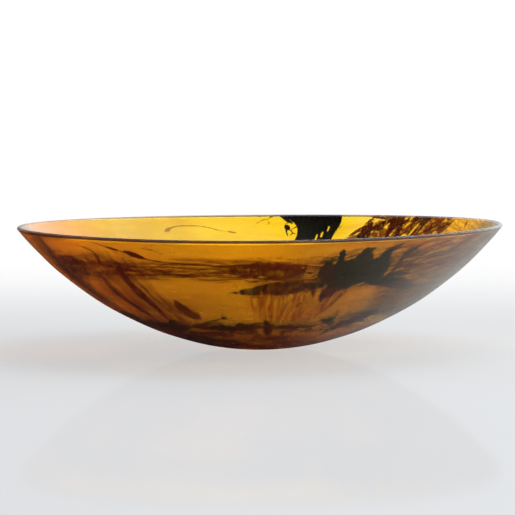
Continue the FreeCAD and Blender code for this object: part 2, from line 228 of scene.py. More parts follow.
# Finer strokes drawn out of a streak and part of its glass, written like the narrow streaks.
TRAILS = {
    "cloud_front": [
        (6, (16.3, 212), (16.2, 226), (17.3, 241)), (9, (19, 222), (19.2, 238), (19, 251)),
        (4, (22.4, 232), (21.2, 246)), (10, (22, 222), (24, 240), (27, 251)),
        (10, (28, 222), (30.6, 243), (34.2, 255)), (8, (36, 206), (36.5, 238), (40, 252)),
        (5, (39.5, 222), (42, 236), (45.4, 245)), (2, (26.6, 249), (28.6, 256)),
        (2.4, (38.6, 249), (41.4, 255)), (1.6, (15.4, 240), (17.6, 246), (20.4, 243)),
        (9, (19.5, 204), (18.6, 190), (18.8, 174)), (5, (22.6, 202), (21.4, 188), (21.6, 178)),
        (6, (15, 206), (14.6, 196), (15.6, 184)), (18, (30, 205), (37, 202), (43, 196), (49, 190)),
        (8, (33, 212), (38, 214), (44, 210)), (5, (36, 226), (42, 224), (50, 226)),
    ],
    "tongue_front": [
        (12, (6, 203), (12, 201), (19, 204)), (6, (2, 187.5), (8, 190), (13, 196), (17, 202)),
        (1.7, (-9, 191.5), (0, 198), (8, 204), (15, 208)), (1.6, (-4, 186), (4, 189), (11, 195)),
        (1.5, (0, 183.5), (7, 185.5), (14, 192)), (3, (-9.8, 190.5), (-5, 193), (1, 198)),
        (2, (-7, 188), (-2, 184), (3, 184.5)),
    ],
    "speckle_front": [
        (1.6, (-13, 239), (-6, 237.5), (-1, 241), (5, 240), (10, 235.5)),
        (1.4, (10, 236), (13, 241), (16, 239)), (1.3, (-17, 235.5), (-8, 235), (0, 237)),
        (2.4, (-3, 232), (0, 224), (4, 214), (3, 207)), (2.2, (4, 233), (8, 226), (12, 220), (15, 218)),
        (1.8, (-8, 214), (-3, 211), (3, 213), (9, 209)), (1.6, (-14, 214), (-6, 216), (2, 221), (9, 226)),
        (1.5, (-16, 219), (-8, 222), (0, 228), (8, 234)), (1.4, (-10, 208), (-2, 209), (6, 214), (13, 222)),
        (3, (8, 232), (12, 229), (16, 227)),
    ],
    "wisp_left": [
        (1.8, (-42, 257), (-38, 252.5), (-34, 248.5)), (7, (-33, 247), (-30.5, 243), (-28, 239)),
        (1.2, (-30, 250.5), (-26.5, 251.5), (-23.5, 247), (-21.5, 241)),
        (1.6, (-48, 252), (-45, 249.5), (-42.5, 245)), (3.4, (-43, 248), (-42.6, 238), (-44, 228)),
        (1.5, (-19, 232.5), (-8, 231), (3, 232)), (1.1, (-37, 248), (-33, 242), (-27, 237)),
    ],
    "band_front": [
        (2.2, (-37, 222.5), (-24, 222), (-8, 223.5)), (1.6, (-31, 228), (-20, 226.5), (-9, 228)),
        (2.6, (-11, 218), (-3, 215), (5, 211)), (1.5, (-31, 213), (-20, 213), (-11, 211)),
        (6, (-43, 229), (-38, 225), (-30, 219)), (4, (-60, 226), (-52, 229), (-42, 227)),
    ],
    "drape_left_1": [
        (2.2, (-45, 204), (-44.2, 182), (-42, 162), (-40.5, 146)),
        (1.6, (-56, 152), (-52.5, 144), (-49, 138)), (5, (-47.6, 172), (-45.6, 155), (-45.8, 142)),
    ],
    "drape_left_2": [
        (5, (-35, 212), (-34.3, 190), (-33.6, 168), (-32.5, 150)),
        (3, (-41.6, 206), (-42, 184), (-40, 162)), (12, (-38.6, 196), (-38.3, 182), (-37.4, 168)),
    ],
    "leaf_left": [
        (2.2, (-29.6, 184), (-30.4, 164), (-29.6, 146)), (1.6, (-24.5, 174), (-22.4, 163), (-21, 152)),
    ],
    "drape_front": [
        (1.9, (16, 196), (14, 184), (12.4, 172), (12, 160)),
        (1.7, (13, 194), (10, 183), (8.2, 170), (7.6, 154)), (1.7, (19, 190), (17.4, 178), (16.2, 164)),
        (1.4, (6, 188), (3.6, 176), (2.8, 162), (3, 148)), (1.5, (2, 186), (0.2, 172), (-0.6, 156)),
        (1.5, (21.5, 188), (20.6, 172), (19, 158)),
    ],
    "thread_front_right": [
        (1.4, (31, 172), (35, 175.5), (40, 176)), (1.1, (27, 179), (30, 182), (33, 183)),
    ],
    "lump_thread_front": [
        (2.4, (-24, 132), (-20.5, 136), (-17.5, 138)), (5, (-14.6, 142), (-13.4, 145), (-13.6, 148)),
        (2, (-13, 144), (-10, 139), (-8, 136)),
    ],
    "low_drip_front": [(7, (1.4, 139), (2.4, 134), (3, 128)), (9, (3.4, 118), (3.6, 110), (3.2, 103))],
    "low_cloud_right": [
        (5, (27.8, 154), (28.6, 146), (29.6, 138)), (10, (38, 143), (43, 150), (47, 156)),
        (6, (33, 114), (34.5, 106), (34, 98)), (7, (48, 146), (55, 150), (62, 156)),
        (4, (23, 139), (25.5, 134), (28, 128)), (6, (26, 131), (33, 130), (40, 136), (47, 147)),
        (3.4, (29, 141), (34, 146), (40, 150)), (3.4, (33, 121), (40, 126), (48, 136)),
        (2.4, (44, 150), (50, 158), (57, 164)),
    ],
    "low_cloud_front": [
        (5, (-2, 122), (4, 120), (10, 121)), (5, (18, 120), (23, 125), (28, 131)),
        (3, (8, 126), (13, 129.5), (18, 128)), (2.4, (13, 116), (19, 113), (26, 117)),
    ],
    "low_cloud_middle": [
        (3.4, (-20, 129), (-17.5, 134), (-14, 131)), (4, (-5, 128), (-1, 133), (3, 130)),
        (6, (-36, 118), (-31, 121), (-26, 121)), (6, (-27, 126), (-22, 131), (-18, 133)),
        (7, (-10, 126), (-8, 131), (-6, 127)),
    ],
    "low_cloud_left": [(9, (-40, 128), (-37.5, 134), (-36, 128)), (14, (-72, 136), (-65, 140), (-58, 133))],
    "shard_back": [
        (2.4, (174.8, 261), (176.8, 258.5), (178.2, 254)), (1.4, (176.4, 257.5), (179, 254), (181.6, 247)),
        (1.3, (178, 254), (177.4, 250), (178.6, 246)), (1.2, (176.6, 260), (179.4, 259), (180.6, 256)),
        (5, (175, 262), (173, 256), (171, 249)), (1.6, (173.6, 254), (172.2, 250.5), (173.4, 249)),
        (8, (158.4, 264), (158.8, 248), (160, 230)), (1.3, (157.2, 248), (158.4, 238), (159.8, 226)),
    ],
    "drip_back": [
        (6.5, (173, 247.5), (171.9, 240.5)), (1.7, (172, 242), (170.8, 237), (171.4, 233)),
        (1.5, (171.6, 240), (170, 244.5), (168.6, 246)), (1.2, (171.2, 237), (169.6, 235), (168.4, 235)),
    ],
    "arch_thread_back": [
        (2.6, (206, 239), (203.5, 246.6), (197, 246.8), (188, 238)), (5, (207, 240), (204.6, 246)),
        (3.4, (189, 239.4), (186.6, 236.6)),
    ],
    "plume_back_1": [
        (6, (154, 232), (151, 242), (148.4, 251)), (5, (152, 230), (149.6, 240), (147, 247)),
        (4, (150.6, 248), (148.4, 258)),
    ],
    "plume_back_2": [
        (9, (147, 238), (143.6, 250), (141, 260)), (6, (149, 238), (146, 249), (143, 258)),
        (5, (150.6, 232), (147, 243), (145, 250)), (6, (142, 236), (139.6, 248), (137.6, 258)),
        (4, (150, 259.5), (146.6, 258), (143, 254)),
    ],
    "plume_back_3": [
        (5, (138, 233), (135, 244), (131.6, 253)), (4, (132, 235), (128.6, 244), (125.6, 251)),
        (3.4, (127.6, 239), (124.4, 246), (121.6, 252)),
    ],
    "thread_back_1": [
        (1.2, (124.5, 236), (122.6, 244), (121, 250)), (1.1, (118.6, 256), (117.8, 250), (118.6, 244)),
    ],
}

# Slits and notches where the amber shows through a streak, written the same way.
SLITS = {
    "cloud_front": [
        (5, (34.4, 250), (35, 232), (34.4, 213)), (5, (22.6, 252), (22.5, 240)),
        (6, (28.5, 252), (28.4, 238)), (3, (17.8, 246), (18, 232)),
    ],
    "shard_back": [
        (0.9, (162.4, 231), (162.2, 238)), (0.8, (163.8, 226), (163.6, 234)),
        (0.9, (160.9, 240), (160.8, 246)),
    ],
    "plume_back_2": [(2.2, (145.5, 232), (143.2, 250)), (1.6, (141.4, 226), (140.4, 244))],
    "plume_back_3": [(1.8, (134.4, 236), (133.4, 252))],
    "low_cloud_right": [(6, (33, 132), (33.6, 122))],
}

# How ragged each streak's edge is: noise cells (around, up) in mm, and the noise's reach in mm.
RAGGED = {
    "cloud_front": (5.5, 34, 13.0),
    "tongue_front": (16, 7, 5.0),
    "speckle_front": (5, 4, 9.0),
    "veil_left": (16, 12, 6.0),
    "low_cloud_left": (12, 8, 7.0),
    "low_cloud_middle": (9, 8, 7.0),
    "low_cloud_front": (9, 8, 6.0),
    "low_cloud_right": (10, 12, 8.0),
    "shard_back": (4, 26, 4.0),
    "plume_back_1": (5, 20, 4.0),
    "plume_back_2": (5, 16, 6.0),
    "plume_back_3": (5, 16, 6.0),
    "smoke_back": (16, 9, 9.0),
    "low_cloud_back_1": (12, 8, 7.0),
    "low_cloud_back_2": (12, 8, 7.0),
    "wisp_left": (7, 4, 1.6),
    "band_front": (22, 4, 3.5),
    "base_streak_left": (12, 12, 6.0),
    "smoke_sheet_right": (22, 9, 6.0),
    "haze_streak_right": (9, 22, 5.0),
}
PLAIN_EDGE = (9, 12, 1.6)

OLIVE = (0.006, 0.055, 0.060)
BLACK = (0.006, 0.005, 0.003)
RED_BROWN = (0.300, 0.055, 0.018)
MAROON = (0.160, 0.032, 0.014)
DEEP_RED = (0.130, 0.014, 0.005)
UMBER = (0.110, 0.038, 0.018)
RUSSET = (0.520, 0.160, 0.040)
# Painted sheen: grey and blue-grey stand in for light that the satin wall reflects on its right side.
PAINTED_SHEEN_GREY = (0.190, 0.235, 0.225)
PAINTED_SHEEN_BLUE_GREY = (0.270, 0.300, 0.300)
# Painted reflection: cream stands in for white light mirrored by the inside of the back left wall.
PAINTED_REFLECTION_CREAM = (0.850, 0.480, 0.190)

# Each streak's colour, greatest cover, fade from its edge in mm, and the cover left in its clearest strands.
STREAK_LOOKS = {
    "cloud_front": (OLIVE, 0.97, 2.4, 0.85),
    "tongue_front": (OLIVE, 0.93, 1.4, 0.40),
    "speckle_front": (UMBER, 0.85, 1.1, 0.15),
    "leaf_left": (DEEP_RED, 0.82, 2.4, 0.6),
    "veil_left": (UMBER, 0.60, 3.0, 0.3),
    "low_cloud_left": (OLIVE, 0.90, 2.6, 0.7),
    "low_cloud_middle": (OLIVE, 0.92, 2.0, 0.7),
    "low_cloud_front": (OLIVE, 0.90, 2.0, 0.7),
    "low_cloud_right": (OLIVE, 0.88, 2.6, 0.7),
    "shard_back": (BLACK, 0.995, 1.2, 0.995),
    "plume_back_1": (DEEP_RED, 0.95, 1.0, 0.6),
    "plume_back_2": (DEEP_RED, 0.93, 1.2, 0.5),
    "plume_back_3": (DEEP_RED, 0.90, 1.2, 0.5),
    "smoke_back": (UMBER, 0.60, 8.0, 0.4),
    "low_cloud_back_1": (OLIVE, 0.90, 5.0, 0.8),
    "low_cloud_back_2": (OLIVE, 0.90, 5.0, 0.8),
    "wisp_left": (DEEP_RED, 0.90, 0.4, 0.8),
    "band_front": (DEEP_RED, 0.82, 1.3, 0.35),
    "drape_left_1": (DEEP_RED, 0.80, 1.2, 0.5),
    "drape_left_2": (DEEP_RED, 0.82, 2.2, 0.45),
    "edge_streak_left": (OLIVE, 0.86, 1.8, 0.8),
    "drape_front": (DEEP_RED, 0.72, 0.9, 0.4),
    "thread_front_right": (DEEP_RED, 0.75, 0.5, 0.8),
    "lump_thread_front": (OLIVE, 0.90, 0.6, 0.8),
    "low_drip_front": (OLIVE, 0.85, 2.0, 0.8),
    # Painted shade: base_streak_left's black stands in for the shade at the bottom left.
    "base_streak_left": (BLACK, 0.95, 6.0, 0.8),
    "smoke_sheet_right": (UMBER, 0.50, 5.0, 0.3),
    # Painted sheen: haze_streak_right's blue-grey stands in for light reflected on the right side.
    "haze_streak_right": (PAINTED_SHEEN_BLUE_GREY, 0.55, 4.5, 0.3),
    "drip_back": (BLACK, 0.97, 0.8, 0.95),
    "thread_back_1": (DEEP_RED, 0.92, 0.5, 0.8),
    "thread_back_2": (DEEP_RED, 0.90, 0.5, 0.8),
    "arch_thread_back": (RUSSET, 0.62, 1.4, 0.8),
    "drape_back": (UMBER, 0.60, 4.0, 0.8),
}

# Soft veils of smoke in the overlay, with painted sheen and painted shade among them: colour, how it is
# combed, density, softness of the edge in mm, outline.
LEVEL, STEEP, SLANT, CLOUD, PLAIN = range(5)
VEILS = [
    (UMBER, STEEP, 1, 4, [(-69, 262), (-62, 262), (-60, 200), (-62, 130), (-72, 128), (-70, 200)]),
    (MAROON, LEVEL, 0.9, 7, [(-63, 236), (-50, 238), (-34, 232), (-32, 214), (-46, 208), (-62, 206)]),
    (MAROON, STEEP, 0.7, 6, [(-50, 232), (-33, 234), (-31, 190), (-27, 140), (-40, 130), (-52, 136)]),
    (MAROON, LEVEL, 1.3, 4, [
        (-42, 229), (-20, 233), (-4, 235), (13, 230), (14, 212), (-4, 212), (-20, 213), (-38, 211),
    ]),
    (RED_BROWN, LEVEL, 0.6, 3, [(-20, 238), (0, 241), (14, 237), (14, 229), (0, 231), (-20, 231)]),
    (MAROON, LEVEL, 0.6, 4, [(-3, 234), (6, 238), (17, 236), (19, 196), (6, 196), (-2, 206)]),
    (RED_BROWN, STEEP, 0.6, 5, [
        (-2.5, 192), (8, 196), (24, 197), (23, 165), (19, 138), (4, 134), (-1, 150),
    ]),
    (OLIVE, SLANT, 1, 4, [
        (14, 232), (19, 246), (31, 250), (39, 250), (42, 226), (39, 200), (24, 192), (15, 200),
    ]),
    (UMBER, CLOUD, 1.5, 6, [
        (-80, 134), (-52, 134), (-36, 130), (-5, 131), (3, 131), (18, 128), (26, 134), (38, 146), (50, 152),
        (50, 128), (40, 112), (12, 108), (-28, 108), (-60, 104), (-80, 110),
    ]),
    (DEEP_RED, CLOUD, 1.3, 12, [
        (-75, 112), (-30, 112), (0, 102), (30, 90), (44, 76), (44, 40), (0, 30), (-75, 40),
    ]),
    # Painted shade: a black cloud over the bottom left, where the wall lies in shade.
    (BLACK, CLOUD, 2.6, 10, [
        (-48, 106), (-37, 110), (-28, 88), (-14, 70), (-18, 52), (-60, 56), (-58, 88),
    ]),
    # Painted sheen: grey and blue-grey veils over the right side, standing in for light reflected off the
    # satin surface.
    (PAINTED_SHEEN_GREY, SLANT, 1.3, 10, [
        (38, 238), (60, 250), (84, 262), (92, 240), (88, 150), (70, 130), (48, 150), (40, 178), (42, 210),
    ]),
    (PAINTED_SHEEN_BLUE_GREY, SLANT, 1, 10, [
        (56, 200), (58, 240), (66, 262), (76, 258), (80, 200), (74, 160), (60, 166),
    ]),
    (UMBER, SLANT, 0.7, 8, [(36, 200), (44, 206), (60, 190), (74, 160), (66, 140), (50, 150), (40, 172)]),
    (RED_BROWN, SLANT, 0.9, 7, [(34, 256), (62, 258), (60, 214), (38, 216), (36, 236)]),
    (DEEP_RED, PLAIN, 0.9, 1.6, [(-64, 264), (-20, 264), (40, 264), (40, 257.5), (-20, 258), (-64, 258)]),
    (RED_BROWN, CLOUD, 1.7, 4, [
        (122, 262), (134, 268), (146, 268), (149, 240), (153, 226), (140, 205), (126, 222),
    ]),
    (RED_BROWN, SLANT, 0.3, 5, [(100, 270), (131, 270), (131, 210), (112, 205), (100, 225)]),
    # Painted sheen: grey at the top of the right side.
    (PAINTED_SHEEN_GREY, PLAIN, 0.5, 8, [(78, 270), (103, 270), (103, 225), (84, 225)]),
    # Painted reflection: a cream haze on the inside of the back left wall.
    (PAINTED_REFLECTION_CREAM, PLAIN, 0.35, 16, [(204, 272), (272, 272), (268, 206), (240, 196), (206, 214)]),
    (UMBER, CLOUD, 0.5, 6, [(262, 270), (276, 270), (276, 235), (264, 236)]),
    (RED_BROWN, LEVEL, 1, 9, [(190, 206), (222, 212), (250, 206), (256, 176), (236, 160), (205, 168)]),
    (UMBER, LEVEL, 0.9, 9, [(96, 196), (126, 204), (156, 190), (150, 166), (118, 160), (98, 172)]),
    (UMBER, CLOUD, 1.5, 6, [
        (96, 131), (140, 135), (180, 131), (220, 133), (272, 132), (272, 106), (220, 108), (180, 110),
        (140, 106), (96, 106),
    ]),
    (DEEP_RED, CLOUD, 1, 12, [
        (60, 104), (120, 110), (180, 100), (240, 108), (290, 110), (290, 40), (180, 36), (60, 40),
    ]),
]

# ---- distances on the unrolled wall

SPLINE_STEPS = 6
END_WIDTH = 0.25   # share of a thread's greatest width left at its ends
DRIFT = 4.0        # mm that slow noise moves a whole streak up or down
DRIFT_CELL = 30.0
DRIFT_SEED = 40
WANDER = 0.9       # mm that quick noise moves the edges of the finer strokes
WANDER_CELL = 6.0
WANDER_SEED = 60


def smoothstep(low, high, values):
    """Smooth rise from 0 at low to 1 at high."""
    share = np.clip((values - low) / (high - low), 0.0, 1.0)
    return share * share * (3 - 2 * share)


def smooth_line(points, closed):
    """Catmull-Rom curve through the points, as rows."""
    points = np.array(points, float)
    if closed:
        points = np.vstack([points[-1], points, points[0], points[1]])
    else:
        points = np.vstack([2 * points[0] - points[1], points, 2 * points[-1] - points[-2]])
    rows = []
    for before, start, end, after in zip(points, points[1:], points[2:], points[3:]):
        for step in range(SPLINE_STEPS):
            t = step / SPLINE_STEPS
            square = (2 * before - 5 * start + 4 * end - after) * t ** 2
            cube = (3 * start - before - 3 * end + after) * t ** 3
            rows.append(0.5 * (2 * start + (end - before) * t + square + cube))
    if not closed:
        rows.append(points[-2])
    return np.array(rows)


def flat(azimuth, climb, middle):
    """Places on the wall as mm across from a middle azimuth and mm up."""
    across = np.radians(azimuth - middle) * OUTSIDE.at(climb)[0]
    return np.stack([across, climb], axis=1)


def distance_to_line(places, line):
    """Least distance from each place to a polyline, and how far along it (0 to 1) the nearest point is."""
    nearest = np.full(len(places), np.inf)
    along = np.zeros(len(places))
    for index, (first, second) in enumerate(zip(line, line[1:])):
        run = second - first
        share = np.clip((places - first) @ run / max(run @ run, 1e-9), 0.0, 1.0)
        gap = np.linalg.norm(places - first - share[:, None] * run, axis=1)
        closer = gap < nearest
        nearest = np.where(closer, gap, nearest)
        along = np.where(closer, (index + share) / (len(line) - 1), along)
    return nearest, along


def inside_line(places, line):
    """Whether each place is inside a closed polyline."""
    inside = np.zeros(len(places), bool)
    for first, second in zip(line, np.roll(line, -1, axis=0)):
        spans = (first[1] > places[:, 1]) != (second[1] > places[:, 1])
        rise = second[1] - first[1] if second[1] != first[1] else 1e-9
        crossing = first[0] + (places[:, 1] - first[1]) / rise * (second[0] - first[0])
        inside ^= spans & (places[:, 0] < crossing)
    return inside


def depth_in_outline(azimuth, climb, outline):
    """mm inside (positive) or outside (negative) a closed outline given as (azimuth, climb)."""
    line = smooth_line(outline, True)
    middle = line[:, 0].mean()
    turned = (azimuth - middle + 180) % 360 - 180 + middle
    places = flat(turned, climb, middle)
    corners = flat(line[:, 0], line[:, 1], middle)
    ring = np.vstack([corners, corners[:1]])
    gap, _ = distance_to_line(places, ring)
    return np.where(inside_line(places, corners), gap, -gap)


def depth_in_thread(azimuth, climb, thread):
    """mm inside a narrow streak, whose width tapers towards both ends."""
    width, *middle_line = thread
    line = smooth_line(middle_line, False)
    middle = line[:, 0].mean()
    places = flat(azimuth, climb, middle)
    gap, along = distance_to_line(places, flat(line[:, 0], line[:, 1], middle))
    taper = np.sin(np.pi * np.clip(along, 0.0, 1.0)) ** 0.6
    return (END_WIDTH + (1 - END_WIDTH) * taper) * width / 2 - gap


def streak_depth(name, azimuth, climb, seed):
    """mm inside a streak once its edge is drawn out and made ragged by noise."""
    around, up, reach = RAGGED.get(name, PLAIN_EDGE)
    ragged = wall_noise(azimuth, climb, around, up, seed) - 0.5
    drift = wall_noise(azimuth, climb, DRIFT_CELL, DRIFT_CELL, seed + DRIFT_SEED, octaves=2) - 0.5
    climb = climb + DRIFT * drift
    if name in PATCHES:
        depth = depth_in_outline(azimuth, climb, PATCHES[name])
    else:
        depth = depth_in_thread(azimuth, climb, THREADS[name])
    depth = depth + reach * ragged
    quick = wall_noise(azimuth, climb, WANDER_CELL, WANDER_CELL, seed + WANDER_SEED, octaves=2) - 0.5
    wander = WANDER * quick
    for stroke in TRAILS.get(name, []):
        depth = np.maximum(depth, depth_in_thread(azimuth, climb, stroke) + wander)
    for slit in SLITS.get(name, []):
        depth = np.minimum(depth, -depth_in_thread(azimuth, climb, slit) + wander)
    return depth


# ---- places in space

FRONT_DIP = 3.0     # mm that the lip's front lies below its left and right tips
BACK_DIP = 2.0
DIP_START = 120.0   # climb where the wall starts to dip
SLANT_TILT = math.radians(14)


def rim_dip(azimuth, climb):
    """mm by which hand shaping lowers the wall at each place."""
    lean = smoothstep(DIP_START, LIP_CLIMB, np.asarray(climb, float))
    toward_front = np.cos(np.radians(azimuth))
    dip = (FRONT_DIP + BACK_DIP) / 2 + (FRONT_DIP - BACK_DIP) / 2 * toward_front
    return dip * toward_front ** 2 * lean


def in_space(azimuth, climb, radius, height):
    """Corners in metres from a place's azimuth, climb, radius and height in mm."""
    angle = np.radians(azimuth)
    height = height - rim_dip(azimuth, climb)
    return MM * np.stack([radius * np.sin(angle), -radius * np.cos(angle), height], axis=1)


def overlay_place(azimuth, climb, share):
    """Corners in metres at a share of the way through the overlay, from its outer face inwards."""
    outer_radius, outer_height, _ = OVERLAY_OUT.at(climb * OVERLAY_OUT.last_climb / OUTSIDE.last_climb)
    inner_radius, inner_height, _ = OVERLAY_IN.at(climb * OVERLAY_IN.last_climb / OUTSIDE.last_climb)
    return in_space(azimuth, climb, outer_radius + share * (inner_radius - outer_radius),
                    outer_height + share * (inner_height - outer_height))


def set_attribute(mesh, name, kind, values):
    """Store a value for each corner, which the materials read by name."""
    attribute = mesh.attributes.new(name, kind, "POINT")
    key = {"FLOAT": "value", "FLOAT_VECTOR": "vector", "FLOAT_COLOR": "color"}[kind]
    attribute.data.foreach_set(key, np.asarray(values, np.float32).ravel())


def add_wall_attributes(mesh, azimuth, climb):
    """Places on the wall in mm for the noise: upright with no seam, and slanted with one at the front."""
    angle = np.radians(azimuth)
    upright = np.stack([RIM_RADIUS * np.sin(angle), RIM_RADIUS * np.cos(angle), climb], axis=1)
    across = angle * RIM_RADIUS
    cosine, sine = math.cos(SLANT_TILT), math.sin(SLANT_TILT)
    slanted = np.stack([across * cosine + climb * sine, climb * cosine - across * sine, np.zeros(len(climb))],
                       axis=1)
    set_attribute(mesh, "wall", "FLOAT_VECTOR", upright)
    set_attribute(mesh, "slanted", "FLOAT_VECTOR", slanted)


def new_piece(name, corners, faces, materials, face_slots=None):
    """A smooth-shaded mesh object in the scene."""
    mesh = bpy.data.meshes.new(name)
    mesh.from_pydata(corners.tolist(), [], faces)
    for material in materials:
        mesh.materials.append(material)
    if face_slots is not None:
        mesh.polygons.foreach_set("material_index", np.asarray(face_slots, np.int32))
    mesh.polygons.foreach_set("use_smooth", np.ones(len(mesh.polygons), bool))
    mesh.update()
    piece = bpy.data.objects.new(name, mesh)
    bpy.context.scene.collection.objects.link(piece)
    return piece


# ---- material helpers


class Nodes:
    """A small wrapper that adds shader nodes to a new material or world and links them."""

    def __init__(self, owner, output="ShaderNodeOutputMaterial"):
        owner.use_nodes = True
        self.owner = owner
        self.tree = owner.node_tree
        self.tree.nodes.clear()
        self.output = self.tree.nodes.new(output)

    def add(self, kind, inputs=None, **settings):
        node = self.tree.nodes.new(kind)
        for key, value in settings.items():
            setattr(node, key, value)
        for key, value in (inputs or {}).items():
            if isinstance(value, bpy.types.NodeSocket):
                self.tree.links.new(value, node.inputs[key])
            else:
                node.inputs[key].default_value = value
        return node

    def attribute(self, name, output):
        return self.add("ShaderNodeAttribute", attribute_name=name).outputs[output]

    def wall(self):
        return self.attribute("wall", "Vector")

    def math(self, operation, first, second=0.0, third=0.0):
        node = self.add("ShaderNodeMath", {0: first, 1: second, 2: third}, operation=operation)
        return node.outputs[0]

    def scaled(self, vector, scale):
        node = self.add("ShaderNodeVectorMath", {0: vector, 1: scale}, operation="MULTIPLY")
        return node.outputs[0]

    def noise(self, vector, scale, detail=4.0, roughness=0.6, distortion=0.0):
        node = self.add("ShaderNodeTexNoise", {"Vector": self.scaled(vector, scale), "Scale": 1.0,
                                               "Detail": detail, "Roughness": roughness,
                                               "Distortion": distortion})
        return node.outputs["Fac"]

    def spread(self, value, low, high, new_low=0.0, new_high=1.0):
        node = self.add("ShaderNodeMapRange", {"Value": value, "From Min": low, "From Max": high,
                                               "To Min": new_low, "To Max": new_high},
                        interpolation_type="SMOOTHSTEP")
        return node.outputs[0]

    def mix(self, share, first, second, blend="MIX"):
        node = self.add("ShaderNodeMix", {0: share, 6: first, 7: second}, data_type="RGBA", blend_type=blend)
        return node.outputs[2]

    def choose(self, share, first, second):
        """The first shader where the share is 0 and the second where it is 1."""
        return self.add("ShaderNodeMixShader", {0: share, 1: first.outputs[0], 2: second.outputs[0]})

    def principled(self, inputs):
        return self.finish(self.add("ShaderNodeBsdfPrincipled", inputs))

    def finish(self, shader):
        """The material or world, with the shader linked to its output."""
        self.tree.links.new(shader.outputs[0], self.output.inputs["Surface"])
        return self.owner


def material_nodes(name):
    return Nodes(bpy.data.materials.new(name))


def rgba(colour):
    return (*colour, 1.0)


# Grain of the smoke: how many noise cells to a mm, (around, around, up) on the upright coordinates.
LEVEL_GRAIN = (0.035, 0.035, 0.62)
STEEP_GRAIN = (0.42, 0.42, 0.030)
SLANT_GRAIN = (0.030, 0.34, 0.0)
CLOUD_GRAIN = (80.0, 80.0, 110.0)  # cells to a metre of space, since clouds don't follow the wall
GLASS_IOR = 1.5

# Colours of the layers, the lip, the fused joints and the floor.
BAND_SHADE = (0.93, 0.76, 0.60)
FINE_SHADE = (1.12, 1.10, 1.0)
LEMON = (0.98, 0.92, 0.06)
DEEP_LEMON = (0.96, 0.86, 0.045)
LIP_CREAM = (0.96, 0.78, 0.55)
WARM_SMOKE = (1.6, 1.3, 1.1)
CASING_SHINE = (0.45, 0.38, 0.30)
INSIDE_SHINE = (0.30, 0.27, 0.20)
FLOOR_DARK = (0.225, 0.225, 0.23)
FLOOR_PALE = (0.235, 0.235, 0.24)
FLOOR_GLOW = (0.98, 0.99, 1.0)
COOL_LIGHT = (0.86, 0.93, 1.0)
WINDOW_LIGHT = (0.90, 0.95, 1.0)


def casing_material():
    """Satin amber glass: frosted outside, its amber deeper and yellower in drawn bands."""
    nodes = material_nodes("casing_satin_amber")
    wall = nodes.wall()
    # The tint carries a painted sheen on the right side and painted shade low down.
    tint = nodes.attribute("tint", "Color")
    bands = nodes.noise(wall, (0.010, 0.010, 0.060), distortion=0.6)
    fine = nodes.noise(wall, (0.05, 0.05, 0.25), detail=6.0)
    banded = nodes.mix(1.0, tint, rgba(BAND_SHADE), "MULTIPLY")
    shade = nodes.mix(nodes.spread(bands, 0.35, 0.7), tint, banded)
    lifted = nodes.mix(1.0, shade, rgba(FINE_SHADE), "MULTIPLY")
    colour = nodes.mix(nodes.spread(fine, 0.45, 0.75, 0.0, 0.35), shade, lifted)
    grain = nodes.noise(wall, (1.6, 1.6, 1.6), detail=3.0)
    bump = nodes.add("ShaderNodeBump", {"Strength": 0.06, "Distance": 0.0004, "Height": grain})
    return nodes.principled({
        "Base Color": colour, "IOR": GLASS_IOR, "Transmission Weight": 0.97,
        "Roughness": nodes.spread(fine, 0.2, 0.8, 0.26, 0.36), "Sheen Weight": 0.06, "Sheen Roughness": 0.5,
        "Specular Tint": rgba(CASING_SHINE), "Normal": bump.outputs[0]})


def inside_material():
    """Smooth lemon-yellow glass of the bowl's inside."""
    nodes = material_nodes("inside_yellow")
    wall = nodes.wall()
    cords = nodes.noise(wall, (0.02, 0.02, 0.09), distortion=0.8)
    colour = nodes.mix(nodes.spread(cords, 0.3, 0.75), rgba(LEMON), rgba(DEEP_LEMON))
    waves = nodes.noise(wall, (0.03, 0.03, 0.05), detail=1.0)
    bump = nodes.add("ShaderNodeBump", {"Strength": 0.10, "Distance": 0.001, "Height": waves})
    return nodes.principled({
        "Base Color": colour, "IOR": GLASS_IOR, "Transmission Weight": 1.0,
        "Roughness": nodes.spread(cords, 0.2, 0.8, 0.05, 0.10),
        "Specular Tint": rgba(INSIDE_SHINE), "Normal": bump.outputs[0]})


def lip_material():
    """The ground and fire-polished lip: pale, cloudy edge of the glass."""
    nodes = material_nodes("lip_polished")
    wall = nodes.wall()
    # The tint carries a painted sheen on the right side.
    tint = nodes.attribute("tint", "Color")
    worn = nodes.noise(wall, (0.06, 0.06, 0.3), detail=5.0)
    colour = nodes.mix(nodes.spread(worn, 0.3, 0.7, 0.25, 0.55), rgba(LIP_CREAM), tint)
    return nodes.principled({
        "Base Color": colour, "IOR": GLASS_IOR, "Transmission Weight": 1.0,
        "Roughness": nodes.spread(worn, 0.2, 0.8, 0.08, 0.16)})


def interface_material(name, colour):
    """A fused joint between two gathers: no glass-to-air surface, so light only takes the glass's tint."""
    nodes = material_nodes(name)
    wall = nodes.wall()
    cords = nodes.noise(wall, (0.02, 0.02, 0.08), distortion=0.5)
    tinted = nodes.mix(nodes.spread(cords, 0.3, 0.7), rgba(colour), rgba([0.97 * part for part in colour]))
    return nodes.finish(nodes.add("ShaderNodeBsdfTransparent", {"Color": tinted}))


ONE_OVER_E = 0.3679


